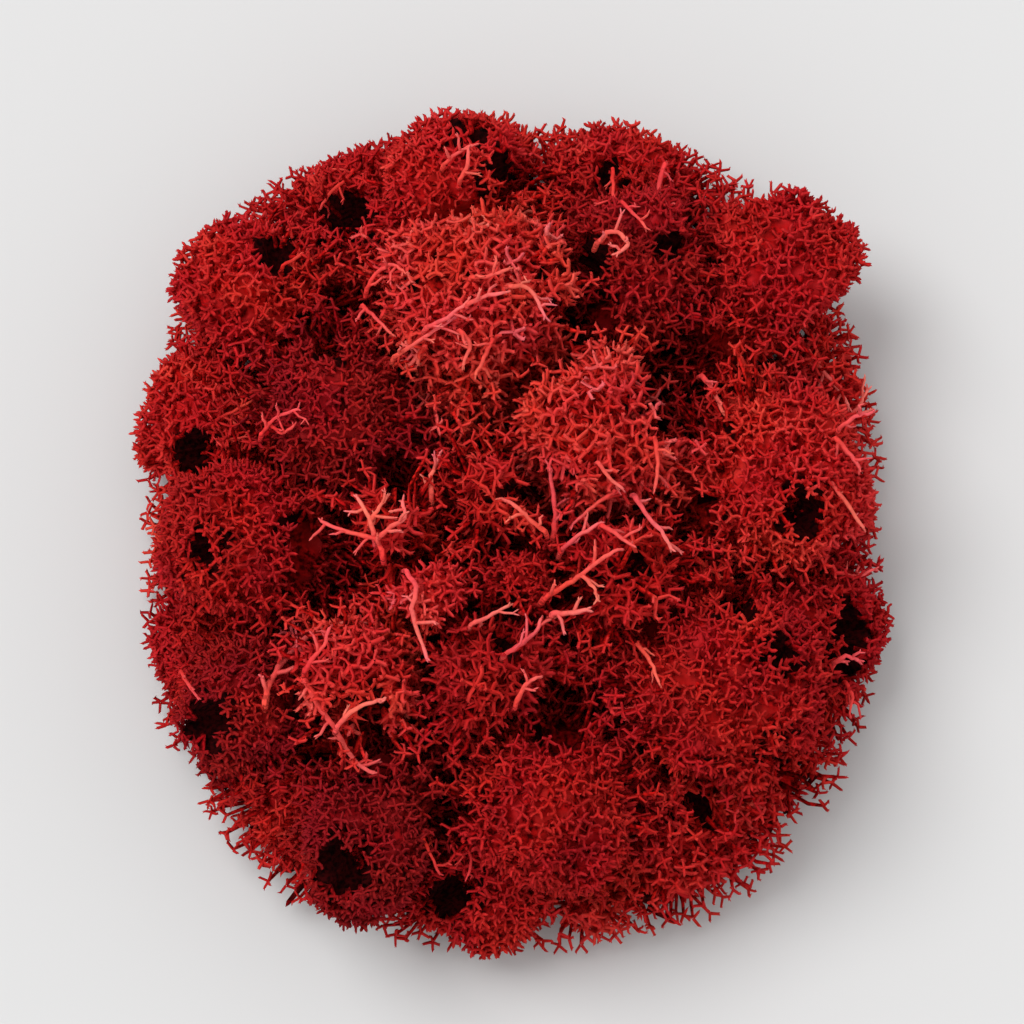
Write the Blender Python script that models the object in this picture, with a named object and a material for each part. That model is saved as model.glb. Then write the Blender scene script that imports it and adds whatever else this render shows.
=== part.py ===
"""Reindeer moss clump: a low cushion of separate bushy lichen podetia, pressed together.

Each podetium is one solid: a rounded, lobed head, clipped where it presses on its neighbours, on a tapered stem
that runs down between the others to a flat foot. Heads at the rim lie on the ground and are pressed flat there.
The origin is on the ground under the middle of the clump. Units are metres; the tables below are in millimetres.
"""

import math

import bmesh
import bpy
import numpy as np
from mathutils import Matrix, Vector

MM = 0.001

# Where the photograph puts the heads: pixels of its 1024 x 1024 frame, with the clump's middle and its scale.
PHOTO_MM_PER_PX = 0.5575
CLUMP_MIDDLE_PX = (795.0, 597.0)

# The cushion that the tops of the heads follow, in millimetres.
CUSHION_HEIGHT = 49.0
CUSHION_RADIUS_X = 62.0
CUSHION_RADIUS_Y = 70.0
CUSHION_ROUNDNESS = 2.2
CUSHION_EDGE_SHARE = 0.97

# Every stem points at one spot below the ground, so that no two stems cross.
STEM_FOCUS_DEPTH = 24.0
FOCUS = np.array((0.0, 0.0, -STEM_FOCUS_DEPTH))

# Moves the finished clump so that the middle of its outline is over the origin, in millimetres.
CENTRING_SHIFT = Vector((0.05, 0.6, 0.0))

# Shape of a head, as shares of its radius: above its middle, below it, and how deep its lobes are.
HEAD_RISE = 0.86
HEAD_DROP = 1.60
LOBE_DEPTH = 0.15
LOBE_COUNT = 13
LOBE_SHARPNESS = 9.0
LOBE_SCATTER = 0.14

# How much larger a head would be if its neighbours didn't press on it.
PRESSED_SWELL = 1.16

# Space left between two heads that touch, in millimetres, and how sharply a pressed head turns at the edge of its
# pressed side: a higher power is sharper.
CONTACT_GAP = 0.3
EDGE_ROUNDING = 9.0

HEAD_SUBDIVISIONS = 3
GOLDEN_ANGLE = math.pi * (3.0 - math.sqrt(5.0))
LEAST_SLOPE = 1e-6

# Stems: radii and start as shares of the head's radius, lengths in millimetres.
STEM_SIDES = 8
STEM_TOP_SHARE = 0.17
STEM_FOOT_SHARE = 0.11
STEM_INSIDE_HEAD = 0.25
STEM_LEAST_LENGTH = 2.5
STEM_SPARE_LENGTH = 1.0

# Heads that the photograph shows: name, pixel x, pixel y, radius in pixels, rise above the cushion in millimetres.
TOP_HEADS = (
    ("head_coral_main", 787, 548, 26.0, 3.5),
    ("head_coral_north", 781, 515, 19.0, 1.0),
    ("head_northeast", 862, 536, 23.0, 1.0),
    ("head_east", 862, 590, 22.5, -0.5),
    ("head_southeast", 848, 643, 26.0, 1.5),
    ("head_south", 804, 674, 22.0, 0.0),
    ("head_southwest", 757, 681, 20.0, 0.5),
    ("head_pale_arc", 757, 642, 16.5, -1.0),
    ("head_west", 726, 606, 20.0, 0.0),
    ("head_velvet", 752, 573, 18.0, -2.5),
    ("head_northwest", 728, 541, 20.0, -0.5),
    ("head_coral_middle", 815, 583, 22.0, 1.5),
    ("head_west_low", 727, 646, 18.0, -2.0),
)

# Open sprigs that the photograph shows in the gaps, in the same units.
TOP_SPRIGS = (
    ("sprig_antler", 822, 617, 16.0, -1.0),
    ("sprig_star", 764, 607, 13.5, -1.5),
    ("sprig_middle", 792, 599, 13.0, -2.5),
    ("sprig_coral", 789, 641, 16.0, -0.5),
    ("sprig_bright", 774, 623, 9.5, -2.0),
    ("sprig_deep", 797, 620, 9.5, -6.0),
    ("sprig_north", 826, 535, 17.0, -1.5),
)

# Heads of the rim, which finish the sides: name, bearing in degrees from +X towards +Y, distance from the middle as a
# share of the rim ellipse, radius and height of the head's middle in millimetres.
RIM_RADIUS_X = 41.5
RIM_RADIUS_Y = 48.5
RIM_HEADS = (
    ("rim_head_1", 23, 1.02, 12.6, 10.6),
    ("rim_head_2", 70, 0.99, 14.2, 12.4),
    ("rim_head_3", 120, 1.01, 13.6, 11.4),
    ("rim_head_4", 163, 1.02, 14.4, 12.2),
    ("rim_head_5", 201, 1.03, 12.8, 10.8),
    ("rim_head_6", 231, 1.00, 13.2, 11.6),
    ("rim_head_7", 266, 1.01, 13.6, 11.4),
    ("rim_head_8", 302, 1.00, 14.4, 12.4),
    ("rim_head_9", 342, 1.03, 14.0, 11.6),
    ("rim_head_small_1", 95, 1.07, 9.5, 8.0),
    ("rim_head_small_2", 142, 1.07, 9.2, 7.6),
    ("rim_head_small_3", 321, 1.07, 9.4, 7.8),
    ("rim_head_small_4", 3, 1.07, 8.8, 7.4),
)
RIM_SPRIGS = (
    ("rim_sprig_1", 47, 1.06, 8.6, 8.0),
    ("rim_sprig_2", 182, 1.08, 8.0, 7.6),
    ("rim_sprig_3", 284, 1.07, 8.6, 7.8),
)

# Colours of the solids, linear red, green and blue, read by eye from the photograph.
BRIGHT_CORAL = (0.290, 0.0150, 0.0130, 1.0)
DEEP_RED = (0.200, 0.0070, 0.0070, 1.0)
DARK_CRIMSON = (0.130, 0.0045, 0.0050, 1.0)
PALE_SALMON = (0.360, 0.0450, 0.0360, 1.0)
BRIGHT_NAMES = ("head_coral_main", "head_coral_north", "head_coral_middle", "head_southwest")
DARK_NAMES = ("head_velvet", "head_northwest", "rim_head_5", "rim_head_9")
MOSS_ROUGHNESS = 0.9


class Podetium:
    """One podetium's head: where its middle is and how large it is, in millimetres, and which way it grows."""

    def __init__(self, name, middle, radius):
        self.name = name
        self.middle = np.array(middle)
        self.radius = radius
        self.from_focus = self.middle - FOCUS
        self.axis = self.from_focus / np.linalg.norm(self.from_focus)


def clear_scene():
    for obj in list(bpy.data.objects):
        bpy.data.objects.remove(obj, do_unlink=True)


def cushion_top(x, y):
    """Height of the cushion's surface over a point, in millimetres."""
    share = math.hypot(x / CUSHION_RADIUS_X, y / CUSHION_RADIUS_Y)
    return CUSHION_HEIGHT * math.sqrt(1.0 - min(share, CUSHION_EDGE_SHARE) ** CUSHION_ROUNDNESS)


def photo_podetium(row):
    name, pixel_x, pixel_y, radius_px, rise = row
    x = (pixel_x - CLUMP_MIDDLE_PX[0]) * PHOTO_MM_PER_PX
    y = (CLUMP_MIDDLE_PX[1] - pixel_y) * PHOTO_MM_PER_PX
    radius = radius_px * PHOTO_MM_PER_PX * PRESSED_SWELL
    z = cushion_top(x, y) + rise - radius * HEAD_RISE
    return Podetium(name, (x, y, z), radius)


def rim_podetium(row):
    name, bearing, share, radius, height = row
    x = RIM_RADIUS_X * share * math.cos(math.radians(bearing))
    y = RIM_RADIUS_Y * share * math.sin(math.radians(bearing))
    return Podetium(name, (x, y, height), radius)


def all_podetia():
    podetia = [photo_podetium(row) for row in TOP_HEADS + TOP_SPRIGS]
    podetia += [rim_podetium(row) for row in RIM_HEADS + RIM_SPRIGS]
    return podetia


def lobe_directions(seed):
    """Directions spread evenly over the sphere, each moved a little."""
    rng = np.random.default_rng(seed)
    index = np.arange(LOBE_COUNT) + 0.5
    height = 1.0 - 2.0 * index / LOBE_COUNT
    turn = index * GOLDEN_ANGLE + rng.uniform(0.0, 2.0 * math.pi)
    ring = np.sqrt(1.0 - height**2)
    spread = np.stack((ring * np.cos(turn), ring * np.sin(turn), height), axis=1)
    spread += rng.normal(0.0, LOBE_SCATTER, spread.shape)
    return spread / np.linalg.norm(spread, axis=1, keepdims=True)


def free_radius(podetium, directions, seed):
    """Distance from the head's middle to its surface along each direction, with no neighbour near."""
    along = directions @ podetium.axis
    axial = np.where(along > 0.0, HEAD_RISE, HEAD_DROP)
    egg = 1.0 / np.sqrt((1.0 - along**2) + (along / axial) ** 2)
    nearest_lobe = (directions @ lobe_directions(seed).T).max(axis=1)
    bump = np.exp(LOBE_SHARPNESS * (nearest_lobe - 1.0))
    return podetium.radius * egg * (1.0 - LOBE_DEPTH * (1.0 - bump))


def boundary_normal(podetium, other):
    """Normal, pointing away from the podetium, of the plane through the stems' focus that parts it from another.

    The plane divides the angle between the two axes as the two heads' radii do.
    """
    angle = math.acos(float(np.clip(podetium.axis @ other.axis, -1.0, 1.0)))
    own_angle = angle * podetium.radius / (podetium.radius + other.radius)
    sideways = other.axis - podetium.axis * math.cos(angle)
    sideways /= np.linalg.norm(sideways)
    return sideways * math.cos(own_angle) - podetium.axis * math.sin(own_angle)


def clipped_radius(podetium, others, directions, free):
    """The free radius, drawn in smoothly where the boundaries to neighbours are nearer."""
    total = free**-EDGE_ROUNDING
    for other in others:
        normal = boundary_normal(podetium, other)
        room = -float(podetium.from_focus @ normal) - 0.5 * CONTACT_GAP
        towards = np.maximum(directions @ normal, LEAST_SLOPE)
        total += (room / towards) ** -EDGE_ROUNDING
    return total ** (-1.0 / EDGE_ROUNDING)


def head_mesh(podetium, others, seed):
    """The head as a bmesh, in metres about the head's middle."""
    shape = bmesh.new()
    bmesh.ops.create_icosphere(shape, subdivisions=HEAD_SUBDIVISIONS, radius=1.0)
    directions = np.array([vertex.co.normalized() for vertex in shape.verts])
    free = free_radius(podetium, directions, seed)
    radius = clipped_radius(podetium, others, directions, free)
    for vertex, direction, reach in zip(shape.verts, directions, radius):
        vertex.co = Vector(direction * reach * MM)
    cut_at_ground(shape, -podetium.middle[2] * MM)
    return shape


def stem_mesh(podetium):
    """A tapered stem from inside the head to the ground, in metres about the head's middle, or None if too short."""
    axis = Vector(podetium.axis)
    foot_distance = podetium.middle[2] / axis.z
    if foot_distance < podetium.radius * HEAD_DROP + STEM_LEAST_LENGTH:
        return None
    foot_radius = podetium.radius * STEM_FOOT_SHARE
    top_distance = podetium.radius * STEM_INSIDE_HEAD
    length = foot_distance - top_distance + 2.0 * foot_radius + STEM_SPARE_LENGTH
    shape = bmesh.new()
    bmesh.ops.create_cone(
        shape,
        cap_ends=True,
        segments=STEM_SIDES,
        radius1=foot_radius * MM,
        radius2=podetium.radius * STEM_TOP_SHARE * MM,
        depth=length * MM,
    )
    turn = Vector((0.0, 0.0, 1.0)).rotation_difference(axis).to_matrix().to_4x4()
    centre = -axis * (top_distance + 0.5 * length) * MM
    bmesh.ops.transform(shape, matrix=Matrix.Translation(centre) @ turn, verts=shape.verts)
    cut_at_ground(shape, -podetium.middle[2] * MM)
    return shape


def cut_at_ground(shape, ground):
    """Removes what is below the ground and closes the cut with a flat face."""
    everything = shape.verts[:] + shape.edges[:] + shape.faces[:]
    cut = bmesh.ops.bisect_plane(
        shape,
        geom=everything,
        plane_co=(0.0, 0.0, ground),
        plane_no=(0.0, 0.0, -1.0),
        clear_outer=True,
    )
    rim = [item for item in cut["geom_cut"] if isinstance(item, bmesh.types.BMEdge)]
    bmesh.ops.holes_fill(shape, edges=rim)
    bmesh.ops.recalc_face_normals(shape, faces=shape.faces)


def object_from(shape, name, middle, collection):
    mesh = bpy.data.meshes.new(name)
    shape.to_mesh(mesh)
    shape.free()
    obj = bpy.data.objects.new(name, mesh)
    obj.location = (Vector(middle) + CENTRING_SHIFT) * MM
    collection.objects.link(obj)
    return obj


def moss_material(name):
    if name in BRIGHT_NAMES:
        colour = BRIGHT_CORAL
    elif name in DARK_NAMES:
        colour = DARK_CRIMSON
    elif "sprig" in name or "pale" in name:
        colour = PALE_SALMON
    else:
        colour = DEEP_RED
    material = bpy.data.materials.new(name + "_moss")
    material.use_nodes = True
    shader = material.node_tree.nodes["Principled BSDF"]
    shader.inputs["Base Color"].default_value = colour
    shader.inputs["Roughness"].default_value = MOSS_ROUGHNESS
    shader.inputs["Metallic"].default_value = 0.0
    material.diffuse_color = colour
    return material


def new_collection(name, hidden):
    collection = bpy.data.collections.new(name)
    bpy.context.scene.collection.children.link(collection)
    collection.hide_render = hidden
    return collection


def join_stem(head, stem):
    """Adds the stem to the head with a Boolean union."""
    stem.display_type = "WIRE"
    stem.hide_render = True
    union = head.modifiers.new("stem", "BOOLEAN")
    union.operation = "UNION"
    union.solver = "EXACT"
    union.object = stem


def build_podetium(podetium, others, seed, pieces, helpers):
    shape = head_mesh(podetium, others, seed)
    head = object_from(shape, podetium.name, podetium.middle, pieces)
    head.data.materials.append(moss_material(podetium.name))
    stem_shape = stem_mesh(podetium)
    if stem_shape is not None:
        stem = object_from(stem_shape, podetium.name + "_stem_shape", podetium.middle, helpers)
        join_stem(head, stem)


def main():
    clear_scene()
    pieces = new_collection("reindeer_moss_clump", hidden=False)
    helpers = new_collection("shapes_to_join", hidden=True)
    podetia = all_podetia()
    for seed, podetium in enumerate(podetia):
        others = [other for other in podetia if other is not podetium]
        build_podetium(podetium, others, seed, pieces, helpers)


main()
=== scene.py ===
"""Looks of the reindeer moss clump: each packed podetium is grown as fine forked branches inside its own outline.

Every podetium starts as one stem on the ground. The stem forks again and again, and its last forks end in small
whorls of blunt, curled arms, which together make the rounded head. Lengths here are in millimetres until a mesh is
made. Places read from the photograph are pixels of its 1024 x 1024 frame.
"""

import math

import bpy
import numpy as np
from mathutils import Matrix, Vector
from mathutils.bvhtree import BVHTree
from mathutils.kdtree import KDTree

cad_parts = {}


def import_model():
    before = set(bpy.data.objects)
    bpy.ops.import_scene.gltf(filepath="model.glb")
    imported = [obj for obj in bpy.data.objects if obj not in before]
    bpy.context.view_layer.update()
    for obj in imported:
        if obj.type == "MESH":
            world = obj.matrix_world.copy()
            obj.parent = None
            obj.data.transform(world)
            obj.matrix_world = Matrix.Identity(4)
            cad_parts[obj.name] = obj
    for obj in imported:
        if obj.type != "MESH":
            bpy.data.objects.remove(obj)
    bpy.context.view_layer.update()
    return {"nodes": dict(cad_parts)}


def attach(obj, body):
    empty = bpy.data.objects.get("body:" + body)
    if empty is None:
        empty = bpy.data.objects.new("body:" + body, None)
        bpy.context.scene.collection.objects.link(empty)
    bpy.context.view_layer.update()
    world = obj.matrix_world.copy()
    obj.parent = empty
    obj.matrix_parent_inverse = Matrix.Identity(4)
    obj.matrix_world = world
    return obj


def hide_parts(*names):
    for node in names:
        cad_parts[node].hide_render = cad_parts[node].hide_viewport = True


MM = 0.001
SEED = 20

# The same frame as the solids: the photograph's scale, the pixel over the origin, and where the stems point.
PHOTO_MM_PER_PX = 0.5575
CLUMP_MIDDLE_PX = (795.0, 597.0)
CENTRING_SHIFT = (0.05, 0.6)
FOCUS = np.array((0.05, 0.6, -24.0))

# How each kind of head branches. spacing: between whorls; depth: of a whorl's middle under the outline; rough: how
# unevenly deep the whorls sit; arms: fewest and most in a whorl; length, radius, tip: of an arm and its blunt end;
# open: how far the arms lean out, in degrees; curl: how far an arm bends, as a share of its length; nubs: fewest and
# most beside an arm's tip; nub: length of a nub; pits: where the patchy field leaves a hole, from rare to common;
# under: spacing and depth of a plainer layer of whorls, darker as painted shade; core: depth of the tangle inside;
# core_tone: its tone, dark as painted shade; bold: share of long pale whorls.
STYLES = {
    "dense": dict(spacing=1.58, depth=1.00, rough=0.90, arms=(3, 4), length=1.15, radius=0.300, tip=0.40, open=58.0,
                  curl=0.24, nubs=(0, 1), nub=0.55, pits=1.10, under=(1.90, 1.9), core=2.6, core_tone=0.50, bold=0.03),
    "velvet": dict(spacing=1.48, depth=0.90, rough=0.70, arms=(3, 4), length=1.02, radius=0.290, tip=0.36, open=60.0,
                   curl=0.24, nubs=(0, 1), nub=0.50, pits=1.20, under=(1.80, 1.8), core=2.4, core_tone=0.50, bold=0.01),
    "coral": dict(spacing=2.08, depth=1.40, rough=1.60, arms=(3, 4), length=1.65, radius=0.345, tip=0.48, open=64.0,
                  curl=0.32, nubs=(1, 1), nub=0.70, pits=0.85, under=(2.05, 3.1), core=4.4, core_tone=0.22, bold=0.07),
    "open": dict(spacing=2.60, depth=2.00, rough=2.60, arms=(3, 4), length=2.00, radius=0.330, tip=0.55, open=60.0,
                 curl=0.34, nubs=(1, 1), nub=0.85, pits=0.60, under=(2.50, 4.6), core=6.2, core_tone=0.05, bold=0.18),
}
DEEPEST_CORE = 0.56

# Style of each podetium and its glow, read from the photograph: 0 is dark crimson and 1 is pale coral.
HEADS = {
    "head_coral_main": ("coral", 0.74),
    "head_coral_north": ("dense", 0.53),
    "head_northeast": ("dense", 0.42),
    "head_east": ("dense", 0.57),
    "head_southeast": ("dense", 0.36),
    "head_south": ("dense", 0.34),
    "head_southwest": ("velvet", 0.06),
    "head_pale_arc": ("coral", 0.66),
    "head_west": ("dense", 0.34),
    "head_velvet": ("velvet", 0.13),
    "head_northwest": ("dense", 0.48),
    "head_coral_middle": ("coral", 0.74),
    "head_west_low": ("velvet", 0.12),
    "sprig_antler": ("open", 0.48),
    "sprig_star": ("open", 0.54),
    "sprig_middle": ("open", 0.55),
    "sprig_coral": ("coral", 0.32),
    "sprig_bright": ("dense", 0.68),
    "sprig_deep": ("velvet", 0.34),
    "sprig_north": ("dense", 0.20),
    "rim_head_1": ("coral", 0.58),
    "rim_head_2": ("dense", 0.48),
    "rim_head_3": ("dense", 0.42),
    "rim_head_4": ("dense", 0.50),
    "rim_head_5": ("velvet", 0.36),
    "rim_head_6": ("dense", 0.46),
    "rim_head_7": ("dense", 0.40),
    "rim_head_8": ("coral", 0.52),
    "rim_head_9": ("velvet", 0.36),
    "rim_head_small_1": ("dense", 0.54),
    "rim_head_small_2": ("coral", 0.58),
    "rim_head_small_3": ("dense", 0.48),
    "rim_head_small_4": ("coral", 0.60),
    "rim_sprig_1": ("coral", 0.62),
    "rim_sprig_2": ("coral", 0.66),
    "rim_sprig_3": ("coral", 0.58),
}

# How open a place is: the share of these rays, spread about its normal, that meet nothing within reach.
OPEN_RAYS = 16
OPEN_REACH = 22.0
LEAST_OPEN = 0.03
FULLY_OPEN = 0.45
CREASE_SPREAD = 1.75
CANDIDATES_PER_SPOT = 7.0
LOWEST_POINT = 0.06
HIGHEST_POINT = 50.7

# How deep the hollows between a head's lobes are, and how far apart the lobes.
LOBE_HOLLOW = 1.5
LOBE_WAVELENGTH = 10.0

# Side shoots that fill the gaps between heads, under a boxy dome a little inside the clump's own outline.
DOME = np.array((51.5, 58.0, 42.5))
DOME_POWER = 2.6
GAP_TRIES = 130000
GAP_SPACING = 2.45
GAP_CLEARANCE = 0.8
GAP_LEAST_OPEN = 0.07
GAP_LONGEST = 6.5

# Dead branches lying on the ground between the stems, near black as painted shade, and how near to the outline dead
# branches reach.
LITTER_TRIES = 14000
LITTER_TOP = 8.0
LITTER_SPACING = 2.1
OUTERMOST_DEAD = 0.88

# Dark gaps of the photograph that stay open: middle and radius in pixels.
DARK_GAPS = (
    (836, 566, 7.5), (839, 577, 6.5), (843, 559, 4.5), (748, 606, 5.5), (751, 616, 9.0), (796, 514, 5.0),
    (753, 521, 6.0), (756, 545, 5.0), (748, 556, 3.5), (737, 532, 4.0), (785, 502, 3.0), (767, 594, 5.0),
    (801, 600, 4.0), (792, 632, 5.0), (828, 617, 5.5), (808, 651, 5.5), (760, 656, 4.0), (748, 657, 3.5),
    (779, 694, 4.5), (779, 675, 3.0), (753, 690, 5.5), (718, 675, 3.5), (717, 653, 4.5), (867, 665, 5.0),
    (868, 675, 3.5), (843, 674, 4.5), (881, 624, 4.5), (880, 635, 3.0), (864, 637, 3.0), (868, 602, 4.5),
    (840, 602, 3.5), (851, 621, 3.5), (813, 536, 3.5), (814, 553, 3.5), (837, 533, 3.0), (820, 510, 3.0),
    (714, 583, 4.5), (717, 612, 3.5), (811, 624, 3.0),
)
GAP_DEPTH = 15.0
GAP_MARGIN = 0.9
GAP_WOBBLE = 0.9
GAP_SINK = 7.5
# GAP_SHADE darkens the whorls in a dark gap, and the core is darkest within GAP_DARK_RIM of a gap: painted shade.
GAP_SHADE = 0.55
GAP_DARK_RIM = 2.2

# Pale bare branches traced over the photograph: the podetium that carries each, its radius, and its pixels.
BARE_BRANCHES = (
    ("head_pale_arc", 0.55, ((734, 648), (735, 643), (738, 638), (742, 633), (747, 630), (753, 629), (758, 629))),
    ("head_pale_arc", 0.42, ((743, 634), (741, 630), (740, 627))),
    ("head_pale_arc", 0.40, ((744, 642), (746, 639), (749, 636), (750, 632))),
    ("head_pale_arc", 0.50, ((744, 644), (747, 650), (751, 655), (754, 660), (757, 664), (761, 666))),
    ("head_pale_arc", 0.42, ((752, 656), (755, 653), (759, 651), (763, 650))),
    ("sprig_star", 0.40, ((763, 615), (762, 611), (757, 610), (752, 608), (748, 606))),
    ("sprig_star", 0.42, ((762, 611), (766, 608), (769, 606), (768, 602))),
    ("sprig_star", 0.45, ((761, 610), (760, 606), (757, 601))),
    ("sprig_star", 0.38, ((760, 607), (762, 604), (764, 601))),
    ("sprig_bright", 0.42, ((769, 619), (772, 624), (770, 628), (772, 634), (774, 640))),
    ("sprig_middle", 0.42, ((775, 599), (775, 594), (777, 589))),
    ("sprig_middle", 0.42, ((803, 609), (800, 607), (797, 604), (794, 602))),
    ("sprig_middle", 0.45, ((805, 609), (806, 604), (805, 598), (804, 592))),
    ("sprig_antler", 0.45, ((803, 625), (808, 622), (812, 620), (817, 616), (821, 614))),
    ("sprig_antler", 0.42, ((807, 613), (811, 610), (816, 607))),
    ("sprig_antler", 0.42, ((817, 608), (820, 610), (824, 613))),
    ("sprig_antler", 0.36, ((812, 620), (815, 623), (816, 626))),
    ("sprig_antler", 0.50, ((805, 629), (809, 629), (813, 628))),
    ("sprig_antler", 0.42, ((825, 600), (828, 605), (832, 609), (834, 613))),
    ("sprig_coral", 0.42, ((793, 640), (797, 637), (801, 633), (802, 630))),
    ("sprig_coral", 0.38, ((785, 632), (789, 630), (794, 627))),
    ("sprig_coral", 0.42, ((796, 651), (798, 647), (801, 645))),
    ("sprig_north", 0.42, ((816, 535), (819, 532), (822, 533), (824, 536), (821, 538))),
    ("head_east", 0.44, ((842, 567), (845, 571), (847, 576))),
    ("head_east", 0.42, ((875, 583), (878, 586), (881, 590))),
    ("head_east", 0.38, ((874, 594), (878, 599), (882, 604))),
    ("head_southeast", 0.44, ((875, 635), (878, 633), (881, 634))),
    ("head_southeast", 0.36, ((826, 635), (829, 640), (831, 645))),
    ("head_coral_main", 0.40, ((784, 554), (788, 552), (793, 551))),
    ("head_coral_main", 0.40, ((774, 559), (779, 557), (784, 553))),
    ("head_coral_main", 0.40, ((782, 560), (785, 563), (783, 568))),
    ("head_coral_main", 0.40, ((790, 562), (788, 566), (786, 570))),
    ("head_coral_main", 0.40, ((794, 549), (799, 549), (801, 552), (803, 556))),
    ("head_coral_north", 0.38, ((778, 515), (781, 512), (785, 510))),
    ("head_coral_north", 0.38, ((782, 519), (784, 515), (784, 511))),
    ("head_coral_main", 0.38, ((759, 547), (761, 543), (765, 541), (768, 543))),
    ("head_coral_main", 0.36, ((758, 551), (761, 554), (765, 558))),
    ("head_coral_main", 0.38, ((766, 565), (770, 563), (775, 560), (780, 557))),
    ("head_coral_main", 0.36, ((785, 547), (789, 547), (794, 545))),
    ("head_coral_north", 0.34, ((755, 510), (753, 513), (749, 516), (747, 520))),
    ("head_northwest", 0.32, ((738, 538), (741, 536), (744, 533))),
    ("head_west", 0.32, ((721, 575), (725, 573), (730, 570))),
    ("head_west", 0.34, ((733, 583), (735, 580), (738, 578), (742, 577))),
    ("head_west", 0.32, ((735, 580), (738, 583), (741, 581))),
    ("head_west", 0.32, ((723, 584), (724, 580), (728, 579))),
    ("head_west_low", 0.32, ((713, 639), (715, 643), (717, 646))),
    ("sprig_north", 0.38, ((833, 511), (831, 518), (834, 524), (836, 527))),
    ("sprig_north", 0.32, ((822, 524), (825, 527), (828, 531))),
    ("sprig_north", 0.32, ((820, 513), (820, 519), (821, 525))),
    ("head_east", 0.36, ((871, 559), (875, 563), (879, 569))),
    ("head_east", 0.38, ((879, 572), (882, 568), (884, 564))),
    ("head_east", 0.38, ((876, 580), (880, 577), (884, 576))),
    ("head_east", 0.34, ((841, 611), (844, 614), (848, 616))),
    ("head_east", 0.36, ((876, 612), (881, 613), (885, 611))),
    ("head_coral_middle", 0.36, ((816, 593), (819, 597), (822, 599))),
    ("head_coral_middle", 0.36, ((830, 586), (831, 592), (830, 598))),
    ("sprig_antler", 0.36, ((820, 599), (815, 602), (810, 606))),
    ("head_southeast", 0.34, ((878, 639), (880, 643), (879, 647))),
    ("head_southeast", 0.34, ((818, 648), (820, 652), (824, 650))),
    ("head_southeast", 0.34, ((871, 661), (874, 658), (877, 657))),
    ("head_southeast", 0.34, ((860, 677), (863, 674), (866, 672))),
    ("head_south", 0.32, ((783, 681), (785, 685), (784, 689))),
    ("head_southwest", 0.32, ((773, 681), (775, 685), (777, 689))),
    ("head_southwest", 0.32, ((741, 688), (743, 694), (745, 699))),
)
BARE_RISE = 0.9
BARE_TOP = 49.4
BARE_FALL = 2.0
FAINT_RADIUS = 0.35
BARE_SLIMNESS = 0.85
BARE_TWIG_STEP = 4

# Colours by tone, from the dark inside to the tip, for the four steps of glow from dark crimson to pale pink.
CRIMSON_TINT = (0.98, 0.83, 1.12)
ORANGE_TINT = (1.02, 1.14, 0.94)
GLOW_STEPS = (0.0, 0.5, 0.8, 1.0)
# Low tones are painted shade deep inside the clump; the top of each ramp, at the tips, is a painted highlight.
DARKEST = (0.0, (0.018, 0.0004, 0.0006))
COLOUR_STOPS = (
    (DARKEST, (0.12, (0.085, 0.0008, 0.0014)), (0.5, (0.190, 0.0034, 0.0052)), (1.0, (0.300, 0.0130, 0.0150))),
    (DARKEST, (0.12, (0.190, 0.0008, 0.0011)), (0.5, (0.430, 0.0054, 0.0054)), (1.0, (0.610, 0.0270, 0.0245))),
    (DARKEST, (0.12, (0.250, 0.0020, 0.0016)), (0.5, (0.620, 0.0190, 0.0140)), (1.0, (0.790, 0.0780, 0.0600))),
    (DARKEST, (0.12, (0.300, 0.0100, 0.0090)), (0.5, (0.710, 0.0820, 0.0700)), (1.0, (0.890, 0.2100, 0.1800))),
)


def unit(vectors):
    return vectors / np.maximum(np.linalg.norm(vectors, axis=-1, keepdims=True), 1e-9)


def across(axis):
    """Two directions square to each axis and to each other."""
    helper = np.where(np.abs(axis[:, 2:3]) < 0.9, (0.0, 0.0, 1.0), (1.0, 0.0, 0.0))
    side = unit(np.cross(axis, helper))
    return side, np.cross(axis, side)


def ripples(wavelength, rng, waves=7):
    """A smooth random field over space, as a function of places: about -1 to 1, in patches half a wavelength wide."""
    directions = unit(rng.normal(size=(waves, 3))) * (2.0 * math.pi / wavelength)
    phases = rng.uniform(0.0, 2.0 * math.pi, waves)
    return lambda places: np.sin(places @ directions.T + phases).sum(axis=1) / math.sqrt(2.0 * waves) * 0.8


def photo_place(px, py):
    """Where a pixel of the photograph lies on the ground plan."""
    x = (px - CLUMP_MIDDLE_PX[0]) * PHOTO_MM_PER_PX + CENTRING_SHIFT[0]
    y = (CLUMP_MIDDLE_PX[1] - py) * PHOTO_MM_PER_PX + CENTRING_SHIFT[1]
    return x, y


def dome_share(flat):
    """How far out a place of the ground plan is: 0 in the middle, 1 on the dome's edge."""
    return (np.abs(flat / DOME[:2]) ** DOME_POWER).sum(axis=-1)


def dome_height(flat):
    return DOME[2] * np.maximum(1.0 - dome_share(flat), 0.0) ** (1.0 / DOME_POWER)


def outside_gaps(places, extra=0.0):
    """Which places don't lie in one of the photograph's dark gaps, widened by this much. Their edges are uneven."""
    clear = np.ones(len(places), bool)
    high = places[:, 2] > dome_height(places[:, :2]) - GAP_DEPTH
    wobble = GAP_WOBBLE * ripples(5.0, np.random.default_rng(SEED))(places)
    margin = GAP_MARGIN + extra + wobble
    for px, py, radius in DARK_GAPS:
        x, y = photo_place(px, py)
        near = np.hypot(places[:, 0] - x, places[:, 1] - y) < radius * PHOTO_MM_PER_PX + margin
        clear &= ~(near & high)
    return clear


def kd_tree(places):
    tree = KDTree(len(places))
    for index, place in enumerate(places):
        tree.insert(place, index)
    tree.balance()
    return tree


def thin_out(places, spacing):
    """Indices of a subset, taken in order, in which no place is nearer to an earlier one than that one's spacing."""
    tree = kd_tree(places)
    free = np.ones(len(places), bool)
    kept = []
    for index, place in enumerate(places):
        if free[index]:
            kept.append(index)
            for found in tree.find_range(place, spacing[index]):
                free[found[1]] = False
    return np.array(kept, int)


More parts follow.
